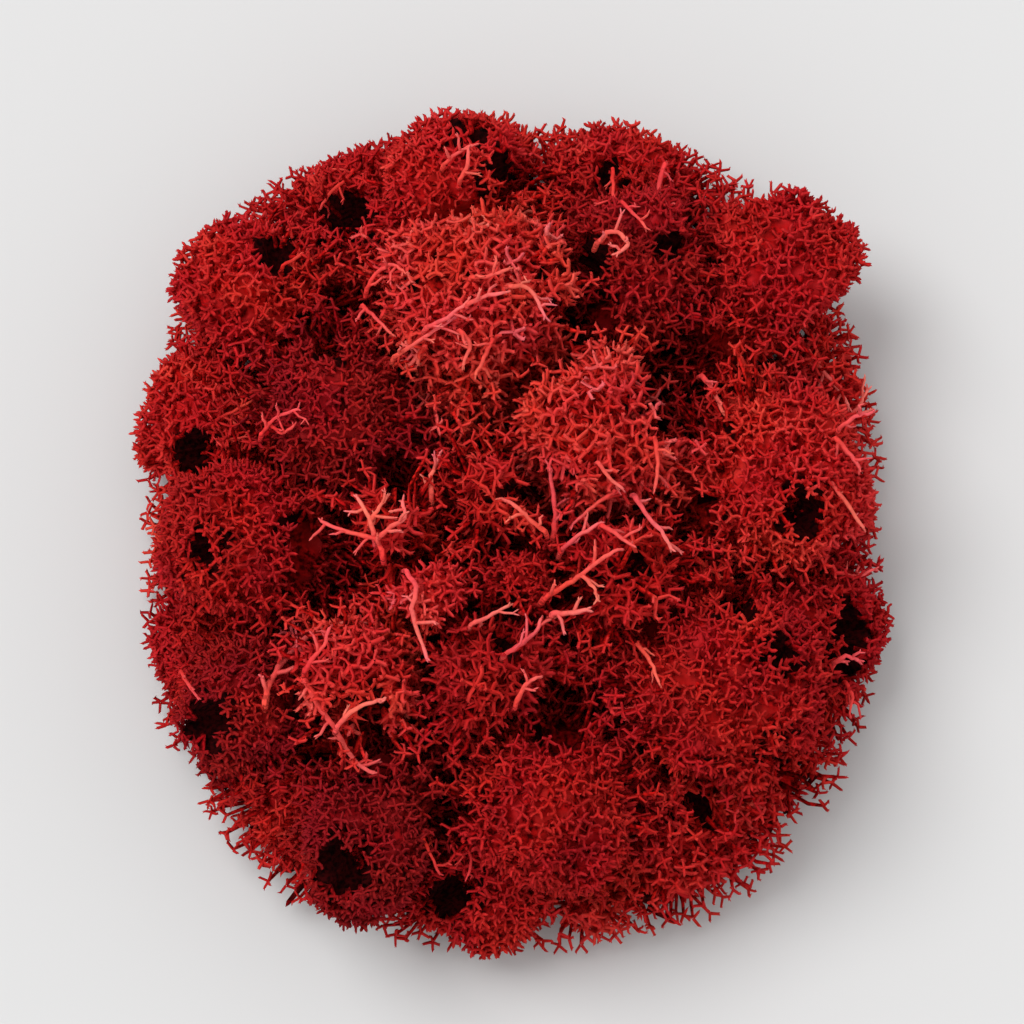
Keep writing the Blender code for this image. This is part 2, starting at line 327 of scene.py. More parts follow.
def nearest(places, targets):
    """For each place, the index of the nearest target."""
    tree = kd_tree(targets)
    return np.array([tree.find(place)[1] for place in places])


def openness(places, normals, lift, tree, rng):
    """Share of rays about each normal that get away, and the average direction of those that do."""
    share = np.zeros(len(places))
    towards = np.zeros((len(places), 3))
    for index, (place, normal) in enumerate(zip(places, normals)):
        origin = Vector(place + normal * lift)
        rays = unit(unit(rng.normal(size=(OPEN_RAYS, 3))) + normal * 1.02)
        free = [gets_away(origin, Vector(ray), tree) for ray in rays]
        share[index] = np.mean(free)
        towards[index] = rays[free].sum(axis=0) if any(free) else normal
    return share, unit(towards)


def gets_away(origin, ray, tree):
    if origin.z + ray.z * OPEN_REACH * 0.6 < 0.0:
        return False
    return tree.ray_cast(origin, ray, OPEN_REACH)[0] is None


class Solid:
    """A packed podetium's faceted outline, rounded between its corners."""

    def __init__(self, obj):
        mesh = obj.data
        mesh.calc_loop_triangles()
        points = np.empty(len(mesh.vertices) * 3, np.float64)
        mesh.vertices.foreach_get("co", points)
        faces = np.empty(len(mesh.loop_triangles) * 3, np.int32)
        mesh.loop_triangles.foreach_get("vertices", faces)
        points, index = np.unique(np.round(points.reshape(-1, 3) / MM, 4), axis=0, return_inverse=True)
        self.points = points
        self.faces = index.reshape(-1)[faces.reshape(-1, 3)]
        a, b, c = (self.points[self.faces[:, k]] for k in range(3))
        cross = np.cross(b - a, c - a)
        self.areas = np.linalg.norm(cross, axis=1) / 2.0
        self.normals = unit(cross)
        self.centres = (a + b + c) / 3.0
        volumes = np.einsum("ij,ij->i", a, np.cross(b, c))
        self.middle = ((a + b + c) * volumes[:, None]).sum(axis=0) / (4.0 * volumes.sum())
        self.corner_normals = np.zeros_like(self.points)
        for k in range(3):
            np.add.at(self.corner_normals, self.faces[:, k], cross)
        self.corner_normals = unit(self.corner_normals)
        self.axis = unit(self.middle - FOCUS)
        self.reach = np.median(np.linalg.norm(self.points - self.middle, axis=1))
        self.heart = self.middle - self.axis * 0.25 * self.reach
        self.open = np.zeros(len(self.faces))

    def set_open(self, shares):
        """Keeps each face's openness, evened out with the faces about it."""
        totals = np.zeros(len(self.points))
        counts = np.zeros(len(self.points))
        for k in range(3):
            np.add.at(totals, self.faces[:, k], shares)
            np.add.at(counts, self.faces[:, k], 1.0)
        self.open = (totals / np.maximum(counts, 1.0))[self.faces].mean(axis=1)

    def rounded(self, face, weights):
        """Places and normals at these weights of the faces' corners, bulged out between the corners."""
        corners = self.points[self.faces[face]]
        normals = self.corner_normals[self.faces[face]]
        flat = np.einsum("nk,nkc->nc", weights, corners)
        off = np.einsum("nkc,nkc->nk", flat[:, None] - corners, normals)
        bulged = np.einsum("nk,nkc->nc", weights, flat[:, None] - off[..., None] * normals)
        return flat * 0.3 + bulged * 0.7, unit(np.einsum("nk,nkc->nc", weights, normals))

    def scatter(self, spacing, rng):
        """Random places on the open part of the outline, farther apart in its creases: place, normal, openness."""
        share = np.clip((self.open - LEAST_OPEN) / (FULLY_OPEN - LEAST_OPEN), 0.0, 1.0)
        weight = self.areas * (share > 0.0)
        wanted = int(weight.sum() / spacing**2 * CANDIDATES_PER_SPOT)
        if not wanted:
            return np.zeros((0, 3)), np.zeros((0, 3)), np.zeros(0)
        face = rng.choice(len(weight), wanted, p=weight / weight.sum())
        u, v = np.sqrt(rng.random(wanted)), rng.random(wanted)
        places, normals = self.rounded(face, np.stack((1.0 - u, u * (1.0 - v), u * v), axis=1))
        gap = spacing * (CREASE_SPREAD - (CREASE_SPREAD - 1.0) * share[face])
        kept = thin_out(places, gap)
        return places[kept], normals[kept], share[face[kept]]


class Branches:
    """Tapered tubes collected for one mesh: points, triangles, and each point's tone and glow."""

    def __init__(self):
        self.points, self.faces, self.tones, self.glows, self.offsets = [], [], [], [], []
        self.count = 0

    def add(self, start, end, radius, tone, glow, sides=3, segments=1, bend=None, point=0.0, curl=0.0):
        """One tube per row. radius and tone are (at its start, at its end); point is the length of its closed tip,

        and curl moves that tip aside.
        """
        if not len(start):
            return
        count = len(start)
        length = np.linalg.norm(end - start, axis=1, keepdims=True)
        axis = (end - start) / np.maximum(length, 1e-6)
        side, other = across(axis)
        steps = np.linspace(0.0, 1.0, segments + 1)
        t = steps[None, :, None]
        path = start[:, None] * (1.0 - t) + end[:, None] * t
        if bend is not None:
            path = path + bend[:, None] * (4.0 * t * (1.0 - t))
        radii = column(radius[0], count) * (1.0 - steps) + column(radius[1], count) * steps
        tones = column(tone[0], count) * (1.0 - steps) + column(tone[1], count) * steps
        turn = np.arange(sides) * 2.0 * math.pi / sides
        ring = side[:, None] * np.cos(turn)[:, None] + other[:, None] * np.sin(turn)[:, None]
        points = (path[:, :, None] + ring[:, None] * radii[:, :, None, None]).reshape(count, -1, 3)
        tones = np.repeat(tones, sides, axis=1)
        spread = np.tile(np.linspace(-1.0, 1.0, sides), segments + 1)
        closed = bool(np.any(point))
        if closed:
            last = end + axis * column(point, count) + curl
            points = np.concatenate((points, last[:, None]), axis=1)
            # The closed tip is lighter than the tube: a painted highlight.
            tones = np.concatenate((tones, tones[:, -1:] * 0.7 + 0.3), axis=1)
            spread = np.append(spread, 0.0)
        self.collect(points, tube_faces(sides, segments, closed), tones, glow, spread)

    def add_spikes(self, start, end, radius, tone, glow):
        """One closed point per row, without a base: three triangles each."""
        if not len(start):
            return
        count = len(start)
        side, other = across(unit(end - start))
        turn = np.arange(3) * 2.0 * math.pi / 3
        ring = side[:, None] * np.cos(turn)[:, None] + other[:, None] * np.sin(turn)[:, None]
        points = start[:, None] + ring * column(radius, count)[:, None]
        points = np.concatenate((points, end[:, None]), axis=1)
        tones = np.concatenate((np.repeat(column(tone[0], count), 3, axis=1), column(tone[1], count)), axis=1)
        self.collect(points, tube_faces(3, 0, True), tones, glow, np.array((-1.0, 0.0, 1.0, 0.0)))

    def add_path(self, path, radii, tones, glow, sides=6):
        """One smooth tube along a row of points."""
        along = unit(np.gradient(path, axis=0))
        side, other = across(along)
        for k in range(1, len(path)):
            side[k] = unit(side[k - 1] - along[k] * (side[k - 1] @ along[k]))
            other[k] = np.cross(along[k], side[k])
        turn = np.arange(sides) * 2.0 * math.pi / sides
        ring = side[:, None] * np.cos(turn)[:, None] + other[:, None] * np.sin(turn)[:, None]
        points = (path[:, None] + ring * radii[:, None, None]).reshape(1, -1, 3)
        points = np.concatenate((points, (path[-1] + along[-1] * radii[-1] * 1.5)[None, None]), axis=1)
        tones = np.append(np.repeat(tones, sides), tones[-1])[None]
        spread = np.append(np.tile(np.linspace(-1.0, 1.0, sides), len(path)), 0.0)
        self.collect(points, tube_faces(sides, len(path) - 1, True), tones, np.array((glow,)), spread)

    def collect(self, points, pattern, tones, glow, spread):
        count, per_tube = points.shape[:2]
        starts = self.count + np.arange(count) * per_tube
        self.points.append(points.reshape(-1, 3))
        self.faces.append((pattern[None] + starts[:, None, None]).reshape(-1, 3))
        self.tones.append(tones.ravel())
        self.glows.append(np.repeat(np.broadcast_to(glow, count), per_tube))
        self.offsets.append(np.tile(spread, count))
        self.count += count * per_tube

    def mesh(self, name):
        points = np.concatenate(self.points)
        points[:, 2] = np.clip(points[:, 2], LOWEST_POINT, HIGHEST_POINT)
        faces = np.concatenate(self.faces)
        tones = np.clip(np.concatenate(self.tones), 0.0, 1.0)
        glows = np.clip(np.concatenate(self.glows), 0.0, 1.0)
        made = bpy.data.meshes.new(name)
        made.vertices.add(len(points))
        made.vertices.foreach_set("co", (points * MM).astype(np.float32).ravel())
        made.loops.add(faces.size)
        made.loops.foreach_set("vertex_index", faces.astype(np.int32).ravel())
        made.polygons.add(len(faces))
        made.polygons.foreach_set("loop_start", np.arange(0, faces.size, 3, dtype=np.int32))
        made.polygons.foreach_set("use_smooth", np.ones(len(faces), bool))
        made.update(calc_edges=True)
        for label, values in (("tone", tones), ("glow", glows)):
            made.attributes.new(label, "FLOAT", "POINT").data.foreach_set("value", values.astype(np.float32))
        spread = np.concatenate(self.offsets) * 0.012
        chart = np.stack((0.02 + 0.96 * tones, 0.03 + 0.94 * glows + spread), axis=1)[faces.ravel()]
        made.uv_layers.new(name="OFBake").data.foreach_set("uv", chart.astype(np.float32).ravel())
        return made


def column(value, count):
    return np.broadcast_to(value, count).reshape(-1, 1)


def tube_faces(sides, segments, closed):
    """Triangles of one tube: bands between its rings, then, if it is closed, a point at its end."""
    faces = []
    for ring in range(segments):
        for k in range(sides):
            a, b = ring * sides + k, ring * sides + (k + 1) % sides
            faces += [(a, b, b + sides), (a, b + sides, a + sides)]
    if closed:
        last, tip = segments * sides, (segments + 1) * sides
        faces += [(last + k, last + (k + 1) % sides, tip) for k in range(sides)]
    return np.array(faces)


def grow_podetium(name, solid, rng):
    """All branches of one podetium's head."""
    style_name, glow = HEADS[name]
    style = dict(STYLES[style_name])
    style["core"] = min(style["core"], DEEPEST_CORE * solid.reach)
    made = Branches()
    lobes = ripples(LOBE_WAVELENGTH, rng)
    places, normals, share = solid.scatter(style["spacing"], rng)
    in_gap = ~outside_gaps(places)
    outward = unit(unit(places - solid.heart) * 0.55 + normals * 0.6 + rng.normal(0.0, 0.17, places.shape))
    patches = ripples(4.5, rng)
    clumps = patches(places)
    uneven = 0.5 * clumps + rng.random(len(places)) ** 1.5 - 0.2
    depth = np.maximum(style["depth"] + style["rough"] * uneven, style["depth"] * 0.65)
    whorls = places - outward * (depth + hollow(lobes, places) + in_gap * GAP_SINK)[:, None]
    glows = glow + 0.12 * ripples(11.0, rng)(places) - 0.07 * clumps + rng.normal(0.0, 0.05, len(places))
    # Painted shade: darker where a place is less open, where its whorl sits deeper, in a lobe's hollow and in a dark
    # gap; plus random variation.
    shade = 0.14 * (1.0 - share) + 0.06 * uneven + 0.04 * hollow(lobes, places) + rng.normal(0.0, 0.04, len(places))
    shade += GAP_SHADE * in_gap
    bold = (rng.random(len(places)) < style["bold"]) & ~in_gap
    shown = clumps < style["pits"]
    whorls, outward, glows, shade, bold, depth = (v[shown] for v in (whorls, outward, glows, shade, bold, depth))
    add_whorls(made, whorls, outward, glows + bold * 0.14, shade, 1.0 + 0.4 * bold, style, rng)
    add_core(made, solid, lobes, patches, style, glow, rng)
    add_stalks(made, whorls, outward, style["core"] + 0.4 - depth, style["spacing"] * 1.5, glows, style, rng)
    add_under_layer(made, solid, lobes, glow, style, rng)
    return made


def hollow(lobes, places):
    return LOBE_HOLLOW * np.maximum(lobes(places), 0.0)


def add_under_layer(made, solid, lobes, glow, style, rng):
    """Plainer whorls under the outer ones, darker as painted shade."""
    spacing, depth = style["under"]
    depth = min(depth, style["core"] - 0.7)
    places, normals, share = solid.scatter(spacing, rng)
    in_gap = ~outside_gaps(places)
    outward = unit(unit(places - solid.heart) * 0.55 + normals * 0.6 + rng.normal(0.0, 0.2, places.shape))
    sunk = depth * rng.uniform(0.85, 1.15, len(places))
    whorls = places - outward * (sunk + hollow(lobes, places) + in_gap * GAP_SINK)[:, None]
    # Lower glow and more shade than the outer whorls: painted shade, also where less open and in the dark gaps.
    glows = glow - 0.05 + rng.normal(0.0, 0.05, len(places))
    shade = 0.10 + 0.14 * (1.0 - share) + GAP_SHADE * in_gap
    plain_style = dict(style, arms=(4, 5), tip=0.0, open=66.0, length=style["length"] * 1.25,
                       radius=style["radius"] * 1.05)
    add_whorls(made, whorls, outward, glows, shade, np.ones(len(places)), plain_style, rng)
    add_stalks(made, whorls, outward, style["core"] + 0.4 - sunk, spacing * 1.5, glows - 0.05, style, rng)


def add_whorls(made, whorls, outward, glows, shade, stretch, style, rng, segments=2):
    """A star of arms on every whorl: blunt and curled up at the end, or plain points where the style has no tip."""
    side, other = across(outward)
    fewest, most = style["arms"]
    arms = rng.integers(fewest, most + 1, len(whorls))
    turn = rng.uniform(0.0, 2.0 * math.pi, len(whorls))
    shade = np.broadcast_to(shade, len(whorls))
    for k in range(most):
        has = arms > k
        count = int(has.sum())
        angle = turn[has] + 2.0 * math.pi * k / arms[has] + rng.normal(0.0, 0.22, count)
        lean = np.radians(style["open"] + rng.normal(0.0, 13.0, count))
        level = side[has] * np.cos(angle)[:, None] + other[has] * np.sin(angle)[:, None]
        along = outward[has] * np.cos(lean)[:, None] + level * np.sin(lean)[:, None]
        length = style["length"] * rng.uniform(0.7, 1.2, count) * stretch[has]
        radius = style["radius"] * rng.uniform(0.88, 1.15, count)
        start = whorls[has] + level * style["radius"] * 0.4
        end = start + along * length[:, None]
        # Arm tone: darker by the painted shade, and lighter towards the end as a painted highlight.
        tone = 0.68 - shade[has]
        if style["tip"]:
            tip = style["tip"] * rng.uniform(0.75, 1.25, count)
            bend = level * 0.6 - outward[has] * 0.5 + rng.normal(0.0, 0.5, (count, 3))
            bend *= (style["curl"] * length)[:, None]
            ahead = unit(end - start - 2.5 * bend)
            made.add(start, end, (radius, radius * 0.86), (tone, tone + 0.10), glows[has], 3, segments, bend, tip,
                     (ahead - along) * tip[:, None])
            add_nubs(made, end, ahead, radius * 0.86, tone + 0.10, glows[has], style, rng)
        else:
            made.add_spikes(start, end, radius, (tone, tone + 0.20), glows[has])


def add_nubs(made, start, along, radius, tone, glows, style, rng):
    side, other = across(along)
    fewest, most = style["nubs"]
    nubs = rng.integers(fewest, most + 1, len(start))
    turn = rng.uniform(0.0, 2.0 * math.pi, len(start))
    for k in range(most):
        has = nubs > k
        count = int(has.sum())
        angle = turn[has] + 2.4 * k + rng.normal(0.0, 0.3, count)
        level = side[has] * np.cos(angle)[:, None] + other[has] * np.sin(angle)[:, None]
        direction = unit(along[has] + level * rng.uniform(0.9, 1.5, count)[:, None])
        length = style["nub"] * rng.uniform(0.75, 1.25, count)
        root = start[has] - direction * radius[has][:, None] * 0.5
        # Nubs are lighter at the point: a painted highlight.
        made.add_spikes(root, root + direction * length[:, None], radius[has], (tone[has], tone[has] + 0.12),
                        glows[has])


def add_core(made, solid, lobes, patches, style, glow, rng):
    """The tangle under the whorls, dark as painted shade: the outline moved inwards and roughened, with the stem left
    as it is.

    It sinks deeper, and is darker as painted shade, in the pits and in the photograph's dark gaps.
    """
    edges = np.sort(solid.faces[:, [0, 1, 1, 2, 2, 0]].reshape(-1, 2), axis=1)
    pairs, index = np.unique(edges, axis=0, return_inverse=True)
    middle = index.reshape(-1, 3) + len(solid.points)
    face_of = np.zeros(len(pairs), int)
    face_of[index.reshape(-1)] = np.repeat(np.arange(len(solid.faces)), 3)
    weights = (solid.faces[face_of][:, :, None] == pairs[:, None]).any(axis=2) * 0.5
    points = np.concatenate((solid.points, solid.rounded(face_of, weights)[0]))
    a, b, c = solid.faces.T
    ab, bc, ca = middle.T
    faces = np.concatenate([np.stack(t, axis=1) for t in ((a, ab, ca), (ab, b, bc), (ca, bc, c), (ab, bc, ca))])
    inward = solid.heart - points
    distance = np.linalg.norm(inward, axis=1)
    along = -inward @ solid.axis
    aside = np.linalg.norm(-inward - along[:, None] * solid.axis, axis=1)
    on_stem = (along < -0.5 * solid.reach) & (aside < 3.2)
    crumple = rng.normal(0.0, 0.45, len(points))
    pit = np.clip((patches(points) - style["pits"] + 0.3) / 0.3, 0.0, 1.0)
    pit = np.where(outside_gaps(points), pit, 1.0)
    sink = style["core"] + hollow(lobes, points) + 0.7 * ripples(4.0, rng)(points) + crumple + 2.0 * pit
    share = np.where(on_stem, 0.0, np.minimum(sink / distance, 0.7))
    share = np.where(outside_gaps(points) | on_stem, share, 0.85)
    # Painted shade: the core is darkest in a dark gap and in a rim about it.
    pit = np.where(outside_gaps(points, GAP_DARK_RIM), pit, 1.0)
    on_ground = points[:, 2] < 0.5
    points = points + inward * share[:, None]
    points[on_ground, 2] = LOWEST_POINT
    made.points.append(points)
    made.faces.append(faces + made.count)
    # Core tone: darker where it sinks deeper and near black in pits and gaps, both painted shade, and mottled at
    # random.
    made.tones.append(style["core_tone"] * (1.0 + 0.5 * ripples(2.5, rng)(points) - 0.6 * crumple) * (1.0 - pit))
    made.glows.append(np.full(len(points), glow))
    made.offsets.append(ripples(3.0, rng)(points) * 2.0)
    made.count += len(points)


def add_stalks(made, whorls, outward, reach, spacing, glows, style, rng):
    """Joins each whorl to the nearest fork on the core, this far below. A few whorls share each fork."""
    if not len(whorls):
        return
    kept = thin_out(whorls, np.full(len(whorls), spacing))
    forks = whorls[kept] - outward[kept] * reach[kept][:, None] + rng.normal(0.0, 0.25, (len(kept), 3))
    owner = nearest(whorls - outward * 0.8, forks)
    radius = style["radius"] * 1.05
    # Darker at the fork, deeper inside: painted shade.
    made.add(forks[owner], whorls, (radius * 1.35, radius), (0.28, 0.56), glows, 3, 1)


def foot_of(solid):
    """Where the line of the stem meets the ground."""
    foot = FOCUS + (solid.middle - FOCUS) * (-FOCUS[2] / (solid.middle[2] - FOCUS[2]))
    foot[2] = LOWEST_POINT
    return foot


def add_old_branches(made, solid, glow, rng):
    """Bare lower branches on a stem, each forked twice, that close the space under the heads; their dark tones are
    painted shade.
    """
    foot = foot_of(solid)
    length = np.linalg.norm(solid.heart - foot)
    count = int(length * 1.1)
    at = rng.uniform(0.05, 0.8, count)[:, None]
    root = foot + (solid.heart - foot) * at
    away = unit(root * (1.0, 1.0, 0.0) - FOCUS * (1.0, 1.0, 0.0) + 1e-3)
    along = unit(rng.normal(0.0, 1.0, (count, 3)) * (1.0, 1.0, 0.35) + away * 0.5)
    length = rng.uniform(4.0, 11.0, (count, 1))
    hidden = dome_share((root + along * (length + 4.0))[:, :2]) < OUTERMOST_DEAD
    root, along, length = root[hidden], along[hidden], length[hidden]
    count = len(root)
    end = root + along * length
    made.add(root, end, (0.62, 0.48), (0.05, 0.13), glow, 4, 2, rng.normal(0.0, 0.7, (count, 3)), 0.6)
    for _ in range(3):
        twig = unit(along + rng.normal(0.0, 0.75, (count, 3)))
        tip = end + twig * rng.uniform(2.5, 6.0, (count, 1))
        made.add(end, tip, (0.46, 0.34), (0.10, 0.20), glow, 3, 1, None, 0.6)


def add_bare_branches(made, name, tree, rng):
    """The pale bare branches of this podetium that the photograph shows, lying over its outline."""
    for owner, radius, pixels in BARE_BRANCHES:
        if owner != name:
            continue
        flat = np.array([photo_place(px, py) for px, py in pixels])
        steps = np.linspace(0.0, 1.0, len(flat))
        heights = [surface_height(tree, x, y) for x, y in flat]
        found = [k for k, height in enumerate(heights) if height is not None]
        if not found:
            continue
        heights = np.interp(steps, steps[found], [heights[k] for k in found]) + BARE_RISE
        level = np.median(heights)
        heights = np.clip(0.5 * heights + 0.5 * level, level - BARE_FALL, min(level + BARE_FALL, BARE_TOP))
        path = np.column_stack((flat, heights))
        fine = np.linspace(0.0, 1.0, 3 * len(path))
        path = np.column_stack([np.interp(fine, steps, path[:, k]) for k in range(3)])
        path[1:-1] = (path[:-2] + path[1:-1] * 2.0 + path[2:]) / 4.0
        path[1:-1] += rng.normal(0.0, 0.06, (len(path) - 2, 3))
        root = path[0] + (path[0] - path[2]) * 0.4 + (0.0, 0.0, -3.5)
        path = np.vstack((root, path))
        slim = radius * BARE_SLIMNESS
        radii = slim * np.linspace(1.1, 0.7, len(path)) * rng.uniform(0.86, 1.12, len(path))
        glow = rng.uniform(0.84, 0.98) - (radius < FAINT_RADIUS) * 0.12
        # Tone rises from the root, dipped into the head, to the end: painted shade low down.
        made.add_path(path, radii, np.linspace(0.45, 0.90, len(path)), glow)
        add_bare_twigs(made, path, slim, glow, rng)


def add_bare_twigs(made, path, radius, glow, rng):
    """A few curved side branches on a bare branch, and a fork at its end."""
    at = np.arange(2, len(path) - 1, BARE_TWIG_STEP) + rng.integers(0, 2, len(np.arange(2, len(path) - 1, BARE_TWIG_STEP)))
    at = at[at < len(path) - 1]
    along = unit(path[at + 1] - path[at])
    side, other = across(along)
    turn = rng.uniform(0.0, 2.0 * math.pi, (len(at), 1))
    aside = side * np.cos(turn) + other * np.sin(turn) + (0.0, 0.0, 0.35)
    twigs = unit(unit(aside) + along * rng.uniform(0.2, 0.9, (len(at), 1)))
    ends = path[at] + twigs * rng.uniform(1.3, 2.8, (len(at), 1))
    thick = rng.uniform(0.58, 0.76, len(at)) * radius
    bend = rng.normal(0.0, 0.16, (len(at), 3)) + (0.0, 0.0, 0.12)
    made.add(path[at], ends, (thick, thick * 0.85), (0.60, 0.85), glow, 4, 2, bend, 0.35)
    last = np.repeat(path[-1:], 2, axis=0)
    tips = unit(unit(path[-1] - path[-2]) + rng.normal(0.0, 0.45, (2, 3)))
    roots = np.concatenate((last, ends, ends))
    towards = np.concatenate((tips, unit(twigs + rng.normal(0.0, 0.5, twigs.shape)),
                              unit(twigs + rng.normal(0.0, 0.5, twigs.shape))))
    slim = np.concatenate((np.full(2, radius * 0.62), thick * 0.72, thick * 0.72))
    made.add(roots, roots + towards * rng.uniform(0.4, 0.9, (len(roots), 1)), (slim, slim * 0.8), (0.80, 0.95), glow, 3,
             1, None, 0.3)


def surface_height(tree, x, y):
    """Height of the outlines under a place of the ground plan, or None over a gap that reaches deep down."""
    found = tree.ray_cast(Vector((x, y, 100.0)), Vector((0.0, 0.0, -1.0)))[0]
    deep = found is None or found.z < dome_height(np.array((x, y))) - GAP_DEPTH
    return None if deep else found.z


def between_solids(places, tree, owners, clearance, spacing):
    """Those places that lie outside every outline, thinned out: place, nearest point inside an outline, its owner."""
    kept, roots, names = [], [], []
    for place in places:
        found, normal, face, distance = tree.find_nearest(place)
        outside = (Vector(place) - found).dot(normal) > 0.0
        if outside and distance > clearance:
            kept.append(place)
            roots.append(np.array(found - normal * 1.5))
            names.append(owners[face])
    kept, roots, names = np.array(kept), np.array(roots), np.array(names)
    chosen = thin_out(kept, np.full(len(kept), spacing))
    return kept[chosen], roots[chosen], names[chosen]


def litter(tree, owners, rng):
    """Places near the ground, between the stems."""
    places = rng.uniform((-1.0, -1.0, 0.0), 1.0, (LITTER_TRIES, 3)) * (DOME[0], DOME[1], LITTER_TOP)
    places[:, 2] += 0.8
    places = places[dome_share(places[:, :2]) < 0.86]
    return between_solids(places, tree, owners, 0.1, LITTER_SPACING)


def add_litter(made, name, litter_places, rng):
    """Dead branches that lie about the stem, each with a fork."""
    places, roots, names = litter_places
    mine = names == name
    places, roots = places[mine], roots[mine]
    level = unit(rng.normal(0.0, 1.0, places.shape) * (1.0, 1.0, 0.12))
    length = rng.uniform(2.0, 4.5, (len(places), 1))
    hidden = dome_share((places + level * (length + 1.0))[:, :2]) < OUTERMOST_DEAD
    places, roots, level, length = places[hidden], roots[hidden], level[hidden], length[hidden]
    # Near-black tones and low glow: painted shade on the ground under the heads.
    made.add(roots, places + level * length, (0.80, 0.60), (0.02, 0.08), 0.1, 4, 1, None, 0.8)
    fork = unit(level + rng.normal(0.0, 0.5, places.shape) * (1.0, 1.0, 0.3))
    made.add(places, places + fork * length, (0.60, 0.42), (0.02, 0.10), 0.1, 3, 1, None, 0.8)


def gap_shoots(tree, owners, rng):
    """Places in the gaps between heads that can be seen from outside: place, direction, openness, root, owner."""
    places = rng.uniform((-1.0, -1.0, 0.04), 1.0, (GAP_TRIES, 3))
    places = places[(np.abs(places) ** DOME_POWER).sum(axis=1) < 1.0] * DOME
    places = places[outside_gaps(places)]
    kept, roots, names = between_solids(places, tree, owners, GAP_CLEARANCE, GAP_SPACING)
    up = np.repeat(((0.0, 0.0, 1.0),), len(kept), axis=0)
    share, towards = openness(kept, up, 0.0, tree, rng)
    far = np.linalg.norm(kept - roots, axis=1) > GAP_LONGEST
    seen = (share > GAP_LEAST_OPEN) & ~(far & (dome_share(kept[:, :2]) > 0.5))
    return kept[seen], towards[seen], share[seen], roots[seen], names[seen]


def add_gap_shoots(made, name, shoots, rng):
    places, towards, share, roots, names = shoots
    mine = names == name
    places, towards, share, roots = places[mine], towards[mine], share[mine], roots[mine]
    if not len(places):
        return
    style = dict(STYLES["coral"], radius=0.265, length=1.15, nub=0.60)
    share = np.clip(share / FULLY_OPEN, 0.0, 1.0)
    # Painted shade: paler and less shaded where a shoot is more open, and darker low down on its stalk.
    glows = HEADS[name][1] - 0.10 + 0.10 * share + rng.normal(0.0, 0.07, len(places))
    outward = unit(towards + rng.normal(0.0, 0.25, places.shape))
    add_whorls(made, places, outward, glows, 0.02 + 0.28 * (1.0 - share), np.ones(len(places)), style, rng, 1)
    reach = np.linalg.norm(places - roots, axis=1, keepdims=True)
    low = roots - towards * reach * 0.5
    made.add(low, places, (0.42, 0.27), (0.12, 0.52), glows, 3, 2, rng.normal(0.0, 0.12, places.shape) * reach)


def moss_material():
    """Dyed lichen: dark crimson inside as painted shade, lighter and warmer towards the tips as a painted highlight."""
    material = bpy.data.materials.new("dyed_lichen")
    material.use_nodes = True
    nodes, links = material.node_tree.nodes, material.node_tree.links
    shader = nodes["Principled BSDF"]
    tone = attribute_node(nodes, "tone")
    glow = attribute_node(nodes, "glow")
    ramps = [ramp(nodes, links, tone, stops) for stops in COLOUR_STOPS]
    colour = ramps[0]
    for low, high, brighter in zip(GLOW_STEPS, GLOW_STEPS[1:], ramps[1:]):
        colour = mix_colour(nodes, links, map_range(nodes, links, glow, low, high, 0.0, 1.0), colour, brighter)
    coordinates = nodes.new("ShaderNodeTexCoord").outputs["Object"]
    fine = noise(nodes, links, coordinates, 1500.0, 2.0)
    strength = map_range(nodes, links, fine, 0.3, 0.7, 0.86, 1.14)
    tangled = map_range(nodes, links, fine, 0.38, 0.62, 0.25, 1.75)
    inside = map_range(nodes, links, tone, 0.42, 0.54, 1.0, 0.0)
    strength = mix_number(nodes, links, inside, strength, tangled)
    patches = map_range(nodes, links, noise(nodes, links, coordinates, 110.0, 1.0), 0.35, 0.65, 0.0, 1.0)
    tint = mix_colour(nodes, links, patches, plain_colour(nodes, CRIMSON_TINT), plain_colour(nodes, ORANGE_TINT))
    tinted = vector_math(nodes, links, "MULTIPLY", colour, tint, 1)
    links.new(vector_math(nodes, links, "SCALE", tinted, strength, "Scale"), shader.inputs["Base Color"])
    bump = nodes.new("ShaderNodeBump")
    bump.inputs["Strength"].default_value = 0.35
    bump.inputs["Distance"].default_value = 0.00006
    links.new(fine, bump.inputs["Height"])
    links.new(bump.outputs["Normal"], shader.inputs["Normal"])
    shader.inputs["Roughness"].default_value = 0.85
    shader.inputs["Specular IOR Level"].default_value = 0.04
    return material


def attribute_node(nodes, name):
    node = nodes.new("ShaderNodeAttribute")
    node.attribute_name = name
    return node.outputs["Fac"]


def ramp(nodes, links, factor, stops):
    node = nodes.new("ShaderNodeValToRGB")
    elements = node.color_ramp.elements
    while len(elements) < len(stops):
        elements.new(0.5)
    for element, (position, colour) in zip(elements, stops):
        element.position = position
        element.color = (*colour, 1.0)
    links.new(factor, node.inputs["Fac"])
    return node.outputs["Color"]


def map_range(nodes, links, value, low, high, to_low, to_high):
    node = nodes.new("ShaderNodeMapRange")
    for name, number in (("From Min", low), ("From Max", high), ("To Min", to_low), ("To Max", to_high)):
        node.inputs[name].default_value = number
    links.new(value, node.inputs["Value"])
    return node.outputs["Result"]


def mix_colour(nodes, links, factor, first, second):
    node = nodes.new("ShaderNodeMix")
    node.data_type = "RGBA"
    links.new(factor, node.inputs[0])
    links.new(first, node.inputs[6])
    links.new(second, node.inputs[7])
    return node.outputs[2]


def plain_colour(nodes, colour):
    node = nodes.new("ShaderNodeRGB")
    node.outputs[0].default_value = (*colour, 1.0)
    return node.outputs[0]


def vector_math(nodes, links, operation, vector, other, socket):
    node = nodes.new("ShaderNodeVectorMath")
    node.operation = operation
    links.new(vector, node.inputs[0])
    links.new(other, node.inputs[socket])
    return node.outputs["Vector"]


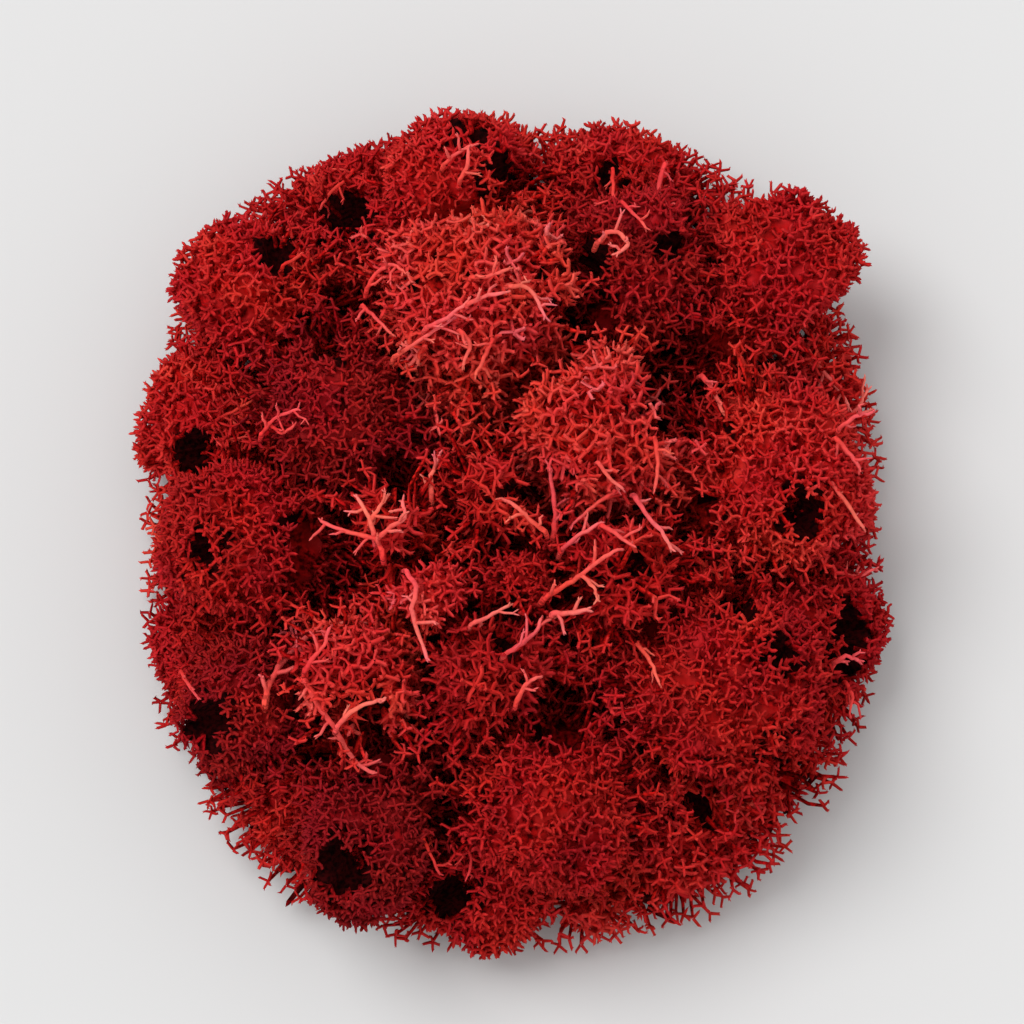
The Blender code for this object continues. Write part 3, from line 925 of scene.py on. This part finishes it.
def mix_number(nodes, links, factor, first, second):
    node = nodes.new("ShaderNodeMix")
    for socket, value in zip(node.inputs[:1] + node.inputs[2:4], (factor, first, second)):
        links.new(value, socket)
    return node.outputs[0]


def noise(nodes, links, coordinates, scale, detail):
    node = nodes.new("ShaderNodeTexNoise")
    node.inputs["Scale"].default_value = scale
    node.inputs["Detail"].default_value = detail
    links.new(coordinates, node.inputs["Vector"])
    return node.outputs["Fac"]


def make_floor():
    bpy.ops.mesh.primitive_plane_add(size=6.0, location=(0.0, 0.0, 0.0))
    floor = bpy.context.object
    floor.name = "floor"
    material = bpy.data.materials.new("pale_floor")
    material.use_nodes = True
    shader = material.node_tree.nodes["Principled BSDF"]
    shader.inputs["Base Color"].default_value = (0.60, 0.60, 0.60, 1.0)
    shader.inputs["Roughness"].default_value = 0.9
    floor.data.materials.append(material)


def make_lights():
    world = bpy.data.worlds.new("studio")
    bpy.context.scene.world = world
    world.use_nodes = True
    background = world.node_tree.nodes["Background"]
    background.inputs["Color"].default_value = (1.0, 1.0, 1.0, 1.0)
    background.inputs["Strength"].default_value = 0.85
    light = bpy.data.lights.new("key", "SUN")
    light.energy = 1.8
    light.angle = math.radians(35.0)
    obj = bpy.data.objects.new("key", light)
    obj.location = (-0.45, 0.30, 1.0)
    aim(obj, Vector((0.0, 0.0, 0.0)))
    bpy.context.scene.collection.objects.link(obj)


def aim(obj, target):
    obj.rotation_euler = (target - obj.location).to_track_quat("-Z", "Y").to_euler()


def make_camera():
    """Almost straight above, leaning back towards the bottom of the photograph, as the photograph was taken."""
    elevation, distance, view_width = math.radians(80.0), 1.6, 0.142
    camera = bpy.data.cameras.new("camera")
    camera.lens = camera.sensor_width * distance / view_width
    obj = bpy.data.objects.new("camera", camera)
    target = Vector((0.0, 0.0, 0.025))
    obj.location = target + Vector((0.0, -math.cos(elevation), math.sin(elevation))) * distance
    aim(obj, target)
    bpy.context.scene.collection.objects.link(obj)
    bpy.context.scene.camera = obj


def combined_tree(solids):
    """One search tree over all outlines, and the name that owns each of its faces."""
    points, faces, owners, count = [], [], [], 0
    for name, solid in solids.items():
        points.append(solid.points)
        faces.append(solid.faces + count)
        owners += [name] * len(solid.faces)
        count += len(solid.points)
    tree = BVHTree.FromPolygons([Vector(p) for p in np.concatenate(points)], np.concatenate(faces).tolist())
    return tree, owners


def main():
    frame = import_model()
    make_camera()
    make_lights()
    make_floor()
    rng = np.random.default_rng(SEED)
    solids = {name: Solid(frame["nodes"][name]) for name in HEADS}
    tree, owners = combined_tree(solids)
    for solid in solids.values():
        solid.set_open(openness(solid.centres, solid.normals, 0.4, tree, rng)[0])
    shoots = gap_shoots(tree, owners, rng)
    litter_places = litter(tree, owners, rng)
    material = moss_material()
    for number, (name, solid) in enumerate(solids.items()):
        rng = np.random.default_rng((SEED, number))
        made = grow_podetium(name, solid, rng)
        add_gap_shoots(made, name, shoots, rng)
        add_litter(made, name, litter_places, rng)
        # Old branches take half the head's glow: painted shade under the heads.
        add_old_branches(made, solid, HEADS[name][1] * 0.5, rng)
        add_bare_branches(made, name, tree, rng)
        piece = bpy.data.objects.new("branches_" + name, made.mesh("branches_" + name))
        piece.data.materials.append(material)
        bpy.context.scene.collection.objects.link(piece)
        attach(piece, "root")
        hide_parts(name)
    bpy.context.scene.view_settings.view_transform = "Standard"


main()
